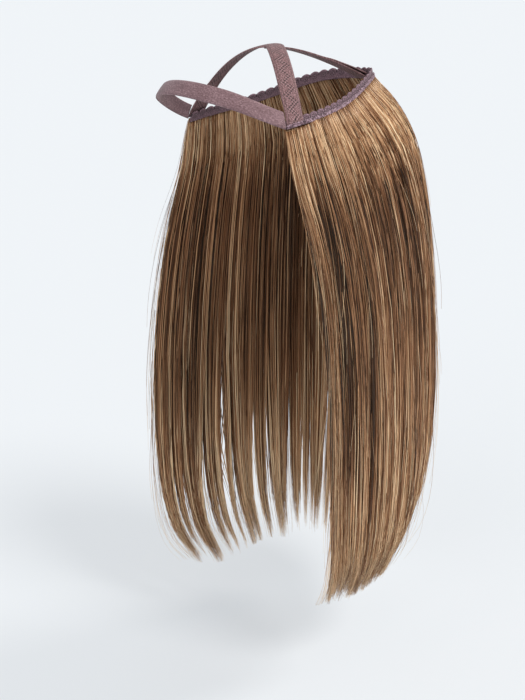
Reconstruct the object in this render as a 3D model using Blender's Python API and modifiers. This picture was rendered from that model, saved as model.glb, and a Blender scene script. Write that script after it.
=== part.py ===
"""Half-wig hairpiece: an open strap cap with straight hair that falls from a scalloped lace band.

Metres, +Z up. The origin is the underside of the strap crossing at the crown, where the piece sits.
The forehead side is -Y, the wearer's left is +X. The piece keeps the form that it has when worn.
"""
import math

import bmesh
import bpy
import numpy as np
from mathutils import Matrix

# Ring of the cap, seen from above: half an egg in front of the ears and half an egg behind them.
RING_HALF_WIDTH = 0.0683
RING_FRONT_REACH = 0.0922
RING_BACK_REACH = 0.0908
RING_TAPER = 0.275
JOINT_ANGLE = math.radians(66.0)
WORN_ROLL = 0.145

# Elastic straps.
STRAP_WIDTH = 0.0150
STRAP_THICKNESS = 0.0012
STRAP_CROWN = 0.0004
FRONT_BAND_WIDTH = 0.0135
FRONT_BAND_TEMPLE_DROP = 0.0497
CROWN_STRAP_ANGLE = math.radians(71.5)
CROWN_STRAP_END_SHARE = 0.48
CROWN_STRAP_SETTLE_SHARE = 0.70
CROWN_STRAP_SWEEP_POWER = 0.80
CROWN_STRAP_DROP_POWER = 2.0
CROWN_STRAP_BEND = 0.03
BACK_STRAP_DROP = 0.0345
BACK_STRAP_DROP_POWER = 1.4
BACK_STRAP_FRONT_TAIL = 0.0060
BACK_STRAP_DOUBLE_SHARE = 0.45
FORK_START_SHARE = 0.62
FORK_OPENING = 0.0018

# Scalloped lace band that carries the hair.
LACE_TEMPLE_DROP = 0.0556
LACE_HEIGHT = 0.0078
LACE_THICKNESS = 0.0012
LACE_TRACK_RELIEF = 0.0005
SCALLOP_PITCH = 0.0076
SCALLOP_HEIGHT = 0.0019

# Hair.
HAIR_DROP = 0.4950
HAIR_SIDE_REACH = 0.0910
HAIR_BACK_REACH = 0.1500
HAIR_FRONT_REACH = 0.1300
HAIR_THICKNESS = 0.0050
SEWN_HEIGHT = 0.0030
LOCK_RIDGE = 0.0026
LOCK_RIDGE_DEPTH = 0.20
LOCK_TIP_SHARE = 0.28
LOCK_TIP_POWER = 1.3
LOCK_TIP_LEAN = 0.35
LOCK_RAGGED = 0.0110
LOCK_FAN = 0.0060
LOCKS_PER_LEFT_NODE = 7
LOCKS_PER_RIGHT_NODE = 9

# Clearances between pieces that touch or are sewn together.
SEAM_GAP = 0.0003
LAYER_GAP = 0.0006
NODE_GAP = 0.0006

# Form of the crown under the straps, an ellipsoid that only steers how the straps lean.
CROWN_FORM = (0.083, 0.121, 0.099)
CROWN_FORM_DEPTH = 0.101

# Angle round the ring from the forehead in degrees, height below the crossing as a share of the drop
# at the temple, and how far the top edge leans inwards in degrees.
FRONT_BAND_ROWS = [
    # angle, drop share, lean
    (0.0, 0.402, 43.0),
    (33.0, 0.567, 31.0),
    (66.0, 1.000, 23.0),
]
LACE_ROWS = [
    # angle, drop share, lean
    (66.0, 1.000, 23.0),
    (100.0, 0.860, 22.0),
    (140.0, 0.585, 13.0),
    (180.0, 0.565, 8.0),
]

# Lace section from its lower to its upper edge: height share, relief share.
LACE_SECTION = [
    # height share, relief share
    (0.00, 1.0),
    (0.38, 1.0),
    (0.44, 0.0),
    (0.72, 0.0),
    (1.00, 0.0),
]

# Plan of the fall at each depth: depth share, side, back and front reach as shares of the named
# reaches, squareness, taper, and where the left and right front edges lie as shares of front reach.
FALL_ROWS = [
    # depth, side, back, front, squareness, taper, left edge, right edge
    (0.04, 0.860, 0.720, 0.76, 2.08, 0.17, -0.295, -0.295),
    (0.10, 0.930, 0.820, 0.80, 2.20, 0.08, -0.267, -0.318),
    (0.20, 0.970, 0.895, 0.90, 2.40, 0.04, -0.176, -0.410),
    (0.35, 0.995, 0.945, 1.00, 2.60, 0.00, -0.082, -0.506),
    (0.50, 1.000, 0.980, 1.00, 2.70, 0.00, -0.030, -0.566),
    (0.65, 1.000, 1.000, 1.00, 2.75, 0.00, -0.005, -0.586),
    (0.80, 0.980, 0.985, 1.00, 2.75, 0.00, 0.010, -0.576),
    (0.90, 0.940, 0.945, 1.00, 2.70, 0.00, 0.035, -0.523),
    (0.96, 0.885, 0.890, 1.00, 2.65, 0.00, 0.050, -0.447),
    (1.00, 0.810, 0.820, 1.00, 2.60, 0.00, 0.045, -0.348),
]

# Hem: share of the way round from the left to the right front edge, depth as a share of HAIR_DROP.
HEM_ROWS = [
    # way round, depth share
    (0.00, 0.960),
    (0.12, 0.962),
    (0.25, 0.945),
    (0.36, 0.905),
    (0.50, 0.930),
    (0.68, 1.000),
    (0.80, 0.985),
    (0.92, 1.005),
    (1.00, 0.985),
]

# Hair wall along the fall: depth share, thickness share.
THICKNESS_ROWS = [
    # depth, thickness share
    (0.00, 0.45),
    (0.08, 0.80),
    (0.30, 1.00),
    (0.70, 0.90),
    (0.90, 0.60),
    (1.00, 0.30),
]

# Places where the fall parts early: lock border counted from the left front, depth share, width.
PARTINGS = [
    # border, depth share where it opens, width in metres
    (19, 0.52, 0.0060),
    (27, 0.48, 0.0065),
]

FALL_STEPS = [0.0, 0.025, 0.06, 0.12, 0.21, 0.33, 0.46, 0.58, 0.68, 0.76, 0.83, 0.89, 0.95, 1.0]
HEM_PARTING_DEPTH = 0.83
PARTING_RAMP = 0.20
CREASE_DEPTH = 0.06
RANDOM_SEED = 41

# Finite step for tangents, in radians or as a share of the way round.
PROBE = 1e-3

# Grid columns across a strap and across a lock, from one border to the other.
STRAP_COLUMNS = np.array([-0.5, -0.17, 0.17, 0.5])
LOCK_COLUMNS = np.array([0.0, 1 / 3, 2 / 3, 1.0])
FRONT_BAND_STEPS = 45
CROWN_STRAP_STEPS = 19
BACK_STRAP_STEPS = 15
STEPS_PER_SCALLOP = 4
PLAN_STEPS = 400


def smooth_rows(position, rows, column, level_first=False, level_last=False):
    """Cubic Hermite curve through one column of a table, level at either end where that is asked for."""
    at = np.array([row[0] for row in rows])
    value = np.array([row[column] for row in rows])
    slope = np.gradient(value, at)
    if level_first:
        slope[0] = 0.0
    if level_last:
        slope[-1] = 0.0
    position = np.clip(position, at[0], at[-1])
    index = np.clip(np.searchsorted(at, position, side="right") - 1, 0, len(at) - 2)
    span = at[index + 1] - at[index]
    u = (position - at[index]) / span
    return (
        value[index] * (2 * u**3 - 3 * u**2 + 1)
        + slope[index] * span * (u**3 - 2 * u**2 + u)
        + value[index + 1] * (3 * u**2 - 2 * u**3)
        + slope[index + 1] * span * (u**3 - u**2)
    )


def ring_plan(angle):
    """Point of the ring seen from above: an egg whose narrow end is at the back."""
    x = RING_HALF_WIDTH * np.sin(angle) * (1 + RING_TAPER * np.cos(angle))
    reach = np.where(np.cos(angle) > 0, RING_FRONT_REACH, RING_BACK_REACH)
    return x, -reach * np.cos(angle)


def unit(vectors):
    return vectors / np.linalg.norm(vectors, axis=-1, keepdims=True)


def ring_frame(angle, rows, temple_drop):
    """Middle line of a band at each angle, its upward direction and its outward direction."""
    x, y = ring_plan(angle)
    folded = np.degrees(np.arccos(np.cos(angle)))
    at_front = rows[0][0] == 0.0
    levels = {"level_first": at_front, "level_last": not at_front}
    z = -temple_drop * smooth_rows(folded, rows, 1, **levels) + WORN_ROLL * x
    middle = np.stack([x, y, z], axis=-1)
    lean = np.radians(smooth_rows(folded, rows, 2, **levels))[..., None]
    ahead = np.stack(ring_plan(angle + PROBE), axis=-1) - np.stack(ring_plan(angle - PROBE), axis=-1)
    tangent = unit(ahead)
    outward = np.stack([tangent[..., 1], -tangent[..., 0], np.zeros_like(x)], axis=-1)
    level = np.array([0.0, 0.0, 1.0])
    up = np.cos(lean) * level - np.sin(lean) * outward
    out = np.cos(lean) * outward + np.sin(lean) * level
    return middle, up, out


def even_angles(first, last, count):
    """Angles between two limits that are an equal way apart along the ring."""
    fine = np.linspace(first, last, 2000)
    x, y = ring_plan(fine)
    way = np.concatenate([[0.0], np.cumsum(np.hypot(np.diff(x), np.diff(y)))])
    return np.interp(np.linspace(0.0, way[-1], count), way, fine), way[-1]


def grid_faces(rows, columns):
    """Quads of a grid of points stored row by row."""
    faces = []
    for row in range(rows - 1):
        for column in range(columns - 1):
            corner = row * columns + column
            faces.append((corner, corner + 1, corner + columns + 1, corner + columns))
    return faces


def principled(name, colour, roughness):
    material = bpy.data.materials.new(name)
    material.use_nodes = True
    shader = material.node_tree.nodes["Principled BSDF"]
    shader.inputs["Base Color"].default_value = (*colour, 1.0)
    shader.inputs["Roughness"].default_value = roughness
    shader.inputs["Metallic"].default_value = 0.0
    return material


def add_piece(collection, name, points, faces, material):
    mesh = bpy.data.meshes.new(name)
    mesh.from_pydata([tuple(point) for point in points], [], faces)
    mesh.validate()
    mesh.materials.append(material)
    mesh.shade_smooth()
    piece = bpy.data.objects.new(name, mesh)
    collection.objects.link(piece)
    return piece


def thicken(piece, thickness, side):
    """Gives an open surface its wall; side 1 builds outwards and -1 inwards."""
    solidify = piece.modifiers.new("Wall", "SOLIDIFY")
    solidify.thickness = thickness
    solidify.offset = side
    solidify.use_even_offset = False
    return solidify


def make_front_band(collection, material):
    """Smooth elastic band round the forehead, from temple to temple."""
    angles, _ = even_angles(-JOINT_ANGLE, JOINT_ANGLE, FRONT_BAND_STEPS)
    middle, up, out = ring_frame(angles, FRONT_BAND_ROWS, FRONT_BAND_TEMPLE_DROP)
    crown = STRAP_CROWN * (1 - (2 * STRAP_COLUMNS) ** 2)
    points = middle[None] + up[None] * (STRAP_COLUMNS * FRONT_BAND_WIDTH)[:, None, None]
    points = points + out[None] * crown[:, None, None]
    faces = grid_faces(len(STRAP_COLUMNS), len(angles))
    piece = add_piece(collection, "front_band", points.reshape(-1, 3), faces, material)
    thicken(piece, STRAP_THICKNESS, 1)


def crown_strap_path():
    """Middle line, outward direction and lift of the crown strap from the right temple to the left.

    Over the crown it rises from both temples as a power of the way out from the crossing. Below, it
    runs straight down over the front band's end and the lace's scallops, and stops above the track.
    """
    half = []
    for side in (-1.0, 1.0):
        angle = np.array([side * CROWN_STRAP_ANGLE])
        middle, up, out = (value[0] for value in ring_frame(angle, LACE_ROWS, LACE_TEMPLE_DROP))
        foot = middle + up * LACE_HEIGHT / 2
        q = np.linspace(0.0, 1.0, CROWN_STRAP_STEPS)
        bend = CROWN_STRAP_BEND
        rounded = (np.sqrt(q**2 + bend**2) - bend) / (math.sqrt(1 + bend**2) - bend)
        unrolled = foot[2] - WORN_ROLL * foot[0]
        x = foot[0] * q
        y = foot[1] * rounded**CROWN_STRAP_SWEEP_POWER
        z = unrolled * rounded**CROWN_STRAP_DROP_POWER + WORN_ROLL * x
        over = np.stack([x, y, z], axis=-1)
        tab = foot - up * LACE_HEIGHT * CROWN_STRAP_END_SHARE
        path = np.concatenate([over, [tab]])
        settle = np.clip((q - CROWN_STRAP_SETTLE_SHARE) / (1 - CROWN_STRAP_SETTLE_SHARE), 0.0, 1.0)
        settle = np.append(settle, 1.0)[:, None]
        settle = settle * settle * (3 - 2 * settle)
        normal = unit(crown_normal(path) * (1 - settle) + out * settle)
        lift = STRAP_THICKNESS + LAYER_GAP + settle * STRAP_CROWN
        half.append((path, normal, lift))
    right, left = half
    joined = [np.concatenate([part[::-1], other[1:]]) for part, other in zip(right, left)]
    return joined


def crown_normal(points):
    """Outward direction of the crown form under each point."""
    centre = np.array([0.0, 0.0, -CROWN_FORM_DEPTH])
    return unit((points - centre) / np.array(CROWN_FORM) ** 2)


def make_crown_strap(collection, material):
    """Net elastic strap from temple to temple over the crown, on top of the other straps' ends."""
    path, normal, lift = crown_strap_path()
    tangent = unit(np.gradient(path, axis=0))
    normal = unit(normal - tangent * np.sum(normal * tangent, axis=1, keepdims=True))
    across = np.cross(normal, tangent)
    crown = STRAP_CROWN * (1 - (2 * STRAP_COLUMNS) ** 2)
    points = path[None] + across[None] * (STRAP_COLUMNS * STRAP_WIDTH)[:, None, None]
    points = points + normal[None] * (lift[None] + crown[:, None, None])
    faces = grid_faces(len(STRAP_COLUMNS), len(path))
    piece = add_piece(collection, "crown_strap", points.reshape(-1, 3), faces, material)
    thicken(piece, STRAP_THICKNESS, 1)


def back_strap_outline():
    """Side view of the back strap as (y, z): one layer that forks into two at the lace band."""
    middle, up, out = (value[0] for value in ring_frame(np.array([math.pi]), LACE_ROWS, LACE_TEMPLE_DROP))
    half_turn = even_angles(math.pi / 2, math.pi, PLAN_STEPS)[0]
    x, y = ring_plan(half_turn)
    sag = RING_BACK_REACH - float(np.interp(STRAP_WIDTH / 2, x[::-1], y[::-1]))
    inner = middle - out * (LAYER_GAP + sag)

    share = np.linspace(0.0, 1.0, BACK_STRAP_STEPS)
    under = np.stack([share * inner[1], -BACK_STRAP_DROP * share**BACK_STRAP_DROP_POWER], axis=-1)
    along = unit(np.gradient(under, axis=0))
    above = np.stack([-along[:, 1], along[:, 0]], axis=-1)
    doubled = np.clip((share - BACK_STRAP_DOUBLE_SHARE) / (FORK_START_SHARE - BACK_STRAP_DOUBLE_SHARE), 0.0, 1.0)
    opened = np.clip((share - FORK_START_SHARE) / (1 - FORK_START_SHARE), 0.0, 1.0)[:, None]
    fork = share > FORK_START_SHARE
    thick = STRAP_THICKNESS

    lower_top = (under + above * thick)[fork][::-1]
    upper_under = (under + above * (thick + FORK_OPENING * opened))[fork]
    root = (under + above * thick)[~fork][-1]
    top = (under + above * (thick * (1 + doubled[:, None]) + FORK_OPENING * opened))[::-1]
    tail = np.array([[-BACK_STRAP_FRONT_TAIL, thick], [-BACK_STRAP_FRONT_TAIL, 0.0]])
    outline = np.array([*under, *lower_top, root, *upper_under, *top, *tail])
    lace_side = inner[1] + (outline[:, 1] - inner[2]) * up[1] / up[2]
    outline[:, 0] = np.minimum(outline[:, 0], lace_side)
    return outline


def make_back_strap(collection, material):
    """Strap from the crossing to the back, cut from its side view and as wide as the other straps."""
    outline = back_strap_outline()
    curve = bpy.data.curves.new("back_strap", "CURVE")
    curve.dimensions = "2D"
    curve.fill_mode = "BOTH"
    curve.extrude = STRAP_WIDTH / 2
    spline = curve.splines.new("POLY")
    spline.points.add(len(outline) - 1)
    for point, (y, z) in zip(spline.points, outline):
        point.co = (y, z, 0.0, 1.0)
    spline.use_cyclic_u = True
    flat = bpy.data.objects.new("back_strap_outline", curve)
    collection.objects.link(flat)
    bpy.context.view_layer.update()
    depsgraph = bpy.context.evaluated_depsgraph_get()
    mesh = bpy.data.meshes.new_from_object(flat.evaluated_get(depsgraph))
    bpy.data.objects.remove(flat, do_unlink=True)

    upright = Matrix.Rotation(math.pi / 2, 4, "Z") @ Matrix.Rotation(math.pi / 2, 4, "X")
    roll = Matrix.Identity(4)
    roll[2][0] = WORN_ROLL
    mesh.transform(roll @ upright)
    work = bmesh.new()
    work.from_mesh(mesh)
    bmesh.ops.remove_doubles(work, verts=work.verts, dist=1e-6)
    work.to_mesh(mesh)
    work.free()
    mesh.materials.clear()
    mesh.materials.append(material)
    piece = bpy.data.objects.new("back_strap", mesh)
    collection.objects.link(piece)


def make_lace_band(collection, material):
    """Lace elastic from temple to temple round the back: a raised track below, scallops on top."""
    scallops = round(even_angles(JOINT_ANGLE, 2 * math.pi - JOINT_ANGLE, 2)[1] / SCALLOP_PITCH)
    start = JOINT_ANGLE + LAYER_GAP / RING_HALF_WIDTH
    angles, _ = even_angles(start, 2 * math.pi - start, scallops * STEPS_PER_SCALLOP + 1)
    middle, up, out = ring_frame(angles, LACE_ROWS, LACE_TEMPLE_DROP)
    phase = np.arange(len(angles)) / STEPS_PER_SCALLOP
    scallop = SCALLOP_HEIGHT * np.abs(np.sin(math.pi * phase))
    rows = []
    for height_share, relief_share in LACE_SECTION:
        height = (height_share - 0.5) * LACE_HEIGHT
        edge = scallop if height_share == 1.0 else np.zeros_like(scallop)
        relief = relief_share * LACE_TRACK_RELIEF
        rows.append(middle + up * (height + edge)[:, None] + out * relief)
    points = np.concatenate(rows)
    faces = grid_faces(len(rows), len(angles))
    piece = add_piece(collection, "lace_band", points, faces, material)
    thicken(piece, LACE_THICKNESS, 1)


def fall_plan(depth, way_round):
    """Plan point of the fall at one depth share for each share of the way round.

    The plan is a superellipse whose two halves are measured separately along their own length, so
    that half way round always lies at the middle of the back.
    """
    front_share = RING_FRONT_REACH / HAIR_FRONT_REACH
    edge_share = -front_share * math.cos(JOINT_ANGLE)
    side_share = RING_HALF_WIDTH / HAIR_SIDE_REACH
    back_share = RING_BACK_REACH / HAIR_BACK_REACH
    ring_row = (0.0, side_share, back_share, front_share, 2.0, RING_TAPER, edge_share, edge_share)
    rows = [ring_row, *FALL_ROWS]
    value = [float(smooth_rows(depth, rows, column)) for column in range(1, 8)]
    side = value[0] * HAIR_SIDE_REACH
    back = value[1] * HAIR_BACK_REACH
    front = value[2] * HAIR_FRONT_REACH
    square, taper = value[3], value[4]
    edges = []
    for edge in (value[5], value[6]):
        y = edge * HAIR_FRONT_REACH
        cosine = -y / (front if y < 0 else back)
        edges.append(math.acos(math.copysign(abs(cosine) ** (square / 2), cosine)))

    def half(edge):
        angle = np.linspace(edge, math.pi, PLAN_STEPS)
        cosine = np.cos(angle)
        x = side * np.abs(np.sin(angle)) ** (2 / square) * (1 + taper * cosine)
        y = -np.sign(cosine) * np.abs(cosine) ** (2 / square) * np.where(cosine > 0, front, back)
        way = np.concatenate([[0.0], np.cumsum(np.hypot(np.diff(x), np.diff(y)))])
        return x, y, way / way[-1]

    left_x, left_y, left_way = half(edges[0])
    right_x, right_y, right_way = half(edges[1])
    left = np.minimum(2 * way_round, 1.0)
    right = np.minimum(2 * (1 - way_round), 1.0)
    on_left = way_round <= 0.5
    x = np.where(on_left, np.interp(left, left_way, left_x), -np.interp(right, right_way, right_x))
    y = np.where(on_left, np.interp(left, left_way, left_y), np.interp(right, right_way, right_y))
    return x, y


def fall_top(way_round, below):
    """Points of the hair's sewn edge, a given way below the lace band's lower edge and in line with it."""
    angles, _ = even_angles(JOINT_ANGLE, 2 * math.pi - JOINT_ANGLE, 2 * PLAN_STEPS + 1)
    angle = np.interp(way_round, np.linspace(0.0, 1.0, 2 * PLAN_STEPS + 1), angles)
    middle, up, out = ring_frame(angle, LACE_ROWS, LACE_TEMPLE_DROP)
    return middle - up * (LACE_HEIGHT / 2 + below) + out * (LACE_THICKNESS + LACE_TRACK_RELIEF)


def fall_points(way_round, depth, extra_drop):
    """Surface point of the fall for each share of the way round at one depth share."""
    top = fall_top(way_round, SEAM_GAP + SEWN_HEIGHT)
    x, y = fall_plan(depth, way_round)
    hem = -HAIR_DROP * smooth_rows(way_round, HEM_ROWS, 1, level_first=True, level_last=True) - extra_drop
    z = top[:, 2] + (hem - top[:, 2]) * depth
    blend = min(depth / CREASE_DEPTH, 1.0)
    blend = blend * blend * (3 - 2 * blend)
    plan_x, plan_y = fall_plan(0.0, way_round)
    x = x + (top[:, 0] - plan_x) * (1 - blend)
    y = y + (top[:, 1] - plan_y) * (1 - blend)
    return np.stack([x, y, z], axis=-1)


def lock_openings(border, locks):
    """For both borders of each lock: depth share where it opens, half the parting and half the node gap."""
    openings = []
    for lock in range(locks):
        pair = []
        for side_border, node_edge in ((border + lock, lock == 0), (border + lock + 1, lock == locks - 1)):
            parts = [(row[1], row[2]) for row in PARTINGS if row[0] == side_border]
            open_at, width = parts[0] if parts else (HEM_PARTING_DEPTH, 0.0)
            pair.append((open_at, width / 2, NODE_GAP / 2 if node_edge else 0.0))
        openings.append(pair)
    return openings


def lock_row(start, share, depth, opening, ragged, fan, lean):
    """Points across one lock at one depth share, or along its sewn edge where depth is None."""
    sewn = depth is None
    depth = 0.0 if sewn else depth
    tip = max(0.0, (depth - HEM_PARTING_DEPTH) / (1 - HEM_PARTING_DEPTH))
    narrow = 1 - (1 - LOCK_TIP_SHARE) * tip**LOCK_TIP_POWER
    centre = 0.5 + lean * tip
    way = start + share * (centre + (LOCK_COLUMNS - centre) * narrow)
    plan = fall_points(np.linspace(0.0, 1.0, PLAN_STEPS), depth, 0.0)
    way_length = np.sum(np.linalg.norm(np.diff(plan[:, :2], axis=0), axis=1))
    for column, (open_at, half_width, gap) in ((0, opening[0]), (-1, opening[1])):
        opened = max(0.0, min(1.0, (depth - open_at) / PARTING_RAMP))
        shift = (gap + half_width * opened) / way_length
        way[column] += shift if column == 0 else -shift
    row = fall_top(way, SEAM_GAP) if sewn else fall_points(way, depth, ragged * tip)
    ahead = fall_points(np.minimum(way + PROBE, 1.0), depth, 0.0)
    behind = fall_points(np.maximum(way - PROBE, 0.0), depth, 0.0)
    tangent = unit((ahead - behind)[:, :2])
    outward = np.stack([tangent[:, 1], -tangent[:, 0], np.zeros(len(way))], axis=-1)
    ridge = LOCK_RIDGE * min(depth / LOCK_RIDGE_DEPTH, 1.0) * narrow
    bulge = np.where((LOCK_COLUMNS > 0.0) & (LOCK_COLUMNS < 1.0), ridge, 0.0)
    return row + outward * (bulge + fan * tip**2)[:, None]


def make_hair(collection, material):
    """Four curtains of fused locks that part into pointed tips above the hem."""
    rng = np.random.default_rng(RANDOM_SEED)
    nodes = [
        ("hair_left", LOCKS_PER_LEFT_NODE),
        ("hair_back_left", LOCKS_PER_LEFT_NODE),
        ("hair_back_right", LOCKS_PER_RIGHT_NODE),
        ("hair_right", LOCKS_PER_RIGHT_NODE),
    ]
    node_share = 1 / len(nodes)
    border = 0
    for number, (name, locks) in enumerate(nodes):
        points = []
        faces = []
        weights = []
        for lock, opening in enumerate(lock_openings(border, locks)):
            ragged = rng.uniform(-1.0, 1.0) * LOCK_RAGGED
            fan = rng.uniform(-1.0, 1.0) * LOCK_FAN
            lean = rng.uniform(-1.0, 1.0) * LOCK_TIP_LEAN
            start = (number + lock / locks) * node_share
            base = len(points)
            for depth in [None, *FALL_STEPS]:
                points.extend(lock_row(start, node_share / locks, depth, opening, ragged, fan, lean))
                weight = float(smooth_rows(depth or 0.0, THICKNESS_ROWS, 1, level_first=True, level_last=True))
                weights.extend([weight] * len(LOCK_COLUMNS))
            for face in grid_faces(len(FALL_STEPS) + 1, len(LOCK_COLUMNS)):
                faces.append(tuple(base + corner for corner in reversed(face)))
        piece = add_hair_piece(collection, name, points, faces, weights, material)
        solidify = thicken(piece, HAIR_THICKNESS, -1)
        solidify.vertex_group = "thickness"
        border += locks


def add_hair_piece(collection, name, points, faces, weights, material):
    """Joins lock grids along their shared borders and stores the wall's thickness shares."""
    points = np.array(points)
    keys = {}
    target = []
    kept = []
    kept_weights = []
    for point, weight in zip(points, weights):
        key = tuple(np.round(point, 7))
        if key not in keys:
            keys[key] = len(kept)
            kept.append(point)
            kept_weights.append(weight)
        target.append(keys[key])
    faces = [tuple(target[corner] for corner in face) for face in faces]
    piece = add_piece(collection, name, kept, faces, material)
    group = piece.vertex_groups.new(name="thickness")
    for index, weight in enumerate(kept_weights):
        group.add([index], weight, "REPLACE")
    return piece


def main():
    for leftover in list(bpy.data.objects):
        bpy.data.objects.remove(leftover, do_unlink=True)
    collection = bpy.data.collections.new("hairpiece")
    bpy.context.scene.collection.children.link(collection)

    smooth_elastic = principled("smooth_elastic", (0.275, 0.178, 0.196), 0.75)
    net_elastic = principled("net_elastic", (0.252, 0.150, 0.157), 0.80)
    lace = principled("lace", (0.230, 0.150, 0.190), 0.80)
    hair = principled("hair", (0.250, 0.145, 0.075), 0.45)

    make_front_band(collection, smooth_elastic)
    make_crown_strap(collection, net_elastic)
    make_back_strap(collection, net_elastic)
    make_lace_band(collection, lace)
    make_hair(collection, hair)


main()
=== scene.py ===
"""Looks of the half-wig hairpiece: fine straight hair, scalloped lace and elastic straps.

Metres, +Z up. The origin is the underside of the strap crossing, the forehead side is -Y and the
wearer's left is +X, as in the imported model.
"""
import math

import bpy
import numpy as np
from mathutils import Matrix


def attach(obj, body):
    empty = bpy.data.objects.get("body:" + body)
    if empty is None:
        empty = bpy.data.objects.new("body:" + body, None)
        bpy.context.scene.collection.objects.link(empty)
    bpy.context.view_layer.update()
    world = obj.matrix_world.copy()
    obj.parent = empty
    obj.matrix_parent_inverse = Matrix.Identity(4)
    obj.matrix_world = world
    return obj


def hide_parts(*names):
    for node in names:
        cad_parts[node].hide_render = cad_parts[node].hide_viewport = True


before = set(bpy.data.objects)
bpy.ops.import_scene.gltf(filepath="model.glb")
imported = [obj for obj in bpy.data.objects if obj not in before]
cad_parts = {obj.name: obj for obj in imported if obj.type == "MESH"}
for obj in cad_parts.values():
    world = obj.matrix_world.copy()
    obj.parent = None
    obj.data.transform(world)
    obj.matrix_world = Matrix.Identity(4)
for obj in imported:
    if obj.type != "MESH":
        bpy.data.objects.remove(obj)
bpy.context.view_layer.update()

# Camera at the photo's angle.
CAMERA_PLACE = (0.93621, -0.63212, 0.21549)
CAMERA_AZIMUTH = math.radians(56.482)
CAMERA_ELEVATION = math.radians(22.814)
CAMERA_ROLL = math.radians(-0.2208)
CAMERA_LENS = 72.95
FLOOR_HEIGHT = -0.5575
FLOOR_HALF_SIZE = 60.0

# Ring of the cap.
RING_HALF_WIDTH = 0.0683
RING_FRONT_REACH = 0.0922
RING_BACK_REACH = 0.0908
RING_TAPER = 0.275
JOINT_ANGLE = math.radians(66.0)
WORN_ROLL = 0.145
STRAP_WIDTH = 0.0150
STRAP_THICKNESS = 0.0012
STRAP_CROWN = 0.0004
FRONT_BAND_WIDTH = 0.0135
FRONT_BAND_TEMPLE_DROP = 0.0497
CROWN_STRAP_ANGLE = math.radians(71.5)
CROWN_STRAP_END_SHARE = 0.48
BACK_STRAP_DROP = 0.0345
BACK_STRAP_DROP_POWER = 1.4
LACE_TEMPLE_DROP = 0.0556
LACE_HEIGHT = 0.0078
LACE_THICKNESS = 0.0012
SCALLOP_PITCH = 0.0076
SCALLOP_HEIGHT = 0.0019
LAYER_GAP = 0.0006
ROOT_RISE = 0.0018
TRACK_HEIGHT = 0.0001
STRAP_STEPS_ACROSS = 13
STRAP_RIM = 0.55
STRAP_RIM_POWER = 8
FRONT_BAND_STEPS = 181

# Crown strap, each half from the crossing to its foot at the lace.
CROWN_STEPS = 90
CROWN_TAB_STEPS = 7
CROWN_ROUNDING = 0.03
CROWN_REACH_POWER = 0.80
CROWN_DROP_POWER = 2.0
CROWN_SETTLES_FROM = 0.70
CROWN_CENTRE = (0.0, 0.0, -0.101)
CROWN_RADII = (0.083, 0.121, 0.099)

# Back strap: places are shares of the way from the crossing to the lace.
BACK_STRAP_STEPS = 60
BACK_STRAP_STEPS_ACROSS = 9
BACK_STRAP_START = -0.05
BACK_STRAP_FORK = (0.45, 0.62)
BACK_STRAP_OPENS_FROM = 0.55
BACK_STRAP_OPENING = 0.0018
BACK_STRAP_FILL = 0.9

# Lace, and the braid on its track.
LACE_FILL = 0.8
LACE_STEPS_ACROSS = 11
SCALLOP_STEPS = 14
SCALLOP_ROUNDING = 0.8
SCALLOP_FROM = 0.45
TRACK_CROSSINGS = 84
TRACK_STEPS = 8
TRACK_SWING = 0.0013
TRACK_PROUD = 0.0005
TRACK_WEAVE = 0.00045
YARN_HALF_WIDTH = 0.00050
YARN_SIDES = 6

# Fall of the hair.
HAIR_DROP = 0.4950
HAIR_SIDE_REACH = 0.0910
HAIR_BACK_REACH = 0.1500
HAIR_FRONT_REACH = 0.1300
HAIR_TRACK_OVERLAP = 0.0012
CREASE_DEPTH = 0.06
PROBE = 1e-3
RING_SAMPLES = 2000
PLAN_SAMPLES = 400
TRACK_SAMPLES = 801
FALL_GRID_DEPTHS = 81
FALL_GRID_WAYS = 401
RANDOM_SEED = 7

FRONT_BAND_ROWS = [
    # angle, drop share, lean
    (0.0, 0.402, 43.0),
    (33.0, 0.567, 31.0),
    (66.0, 1.000, 23.0),
]
LACE_ROWS = [
    # angle, drop share, lean
    (66.0, 1.000, 23.0),
    (100.0, 0.860, 22.0),
    (140.0, 0.585, 13.0),
    (180.0, 0.565, 8.0),
]
FALL_ROWS = [
    # depth, side, back, front, squareness, taper, left edge, right edge
    (0.04, 0.860, 0.720, 0.76, 2.08, 0.17, -0.295, -0.295),
    (0.10, 0.930, 0.820, 0.80, 2.20, 0.08, -0.267, -0.318),
    (0.20, 0.970, 0.895, 0.90, 2.40, 0.04, -0.176, -0.410),
    (0.35, 0.995, 0.945, 1.00, 2.60, 0.00, -0.082, -0.506),
    (0.50, 1.000, 0.980, 1.00, 2.70, 0.00, -0.030, -0.566),
    (0.65, 1.000, 1.000, 1.00, 2.75, 0.00, -0.005, -0.586),
    (0.80, 0.980, 0.985, 1.00, 2.75, 0.00, 0.010, -0.576),
    (0.90, 0.940, 0.945, 1.00, 2.70, 0.00, 0.035, -0.523),
    (0.96, 0.885, 0.890, 1.00, 2.65, 0.00, 0.050, -0.447),
    (1.00, 0.810, 0.820, 1.00, 2.60, 0.00, 0.045, -0.348),
]
HEM_ROWS = [
    # way round, depth share
    (0.00, 0.960),
    (0.12, 0.962),
    (0.25, 0.945),
    (0.36, 0.905),
    (0.50, 0.930),
    (0.68, 1.000),
    (0.80, 0.985),
    (0.92, 1.005),
    (1.00, 0.985),
]
BULK_ROWS = [
    # depth, thickness of the hair in metres
    (0.00, 0.0006),
    (0.04, 0.0028),
    (0.10, 0.0042),
    (0.30, 0.0060),
    (0.70, 0.0060),
    (0.90, 0.0045),
    (1.00, 0.0030),
]

# Places where the fall parts early: share of the way round, depth where it opens, width in shares.
PARTINGS = [
    # place, opens at, width
    (0.6389, 0.50, 0.0130),
    (0.8611, 0.46, 0.0140),
]

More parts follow.
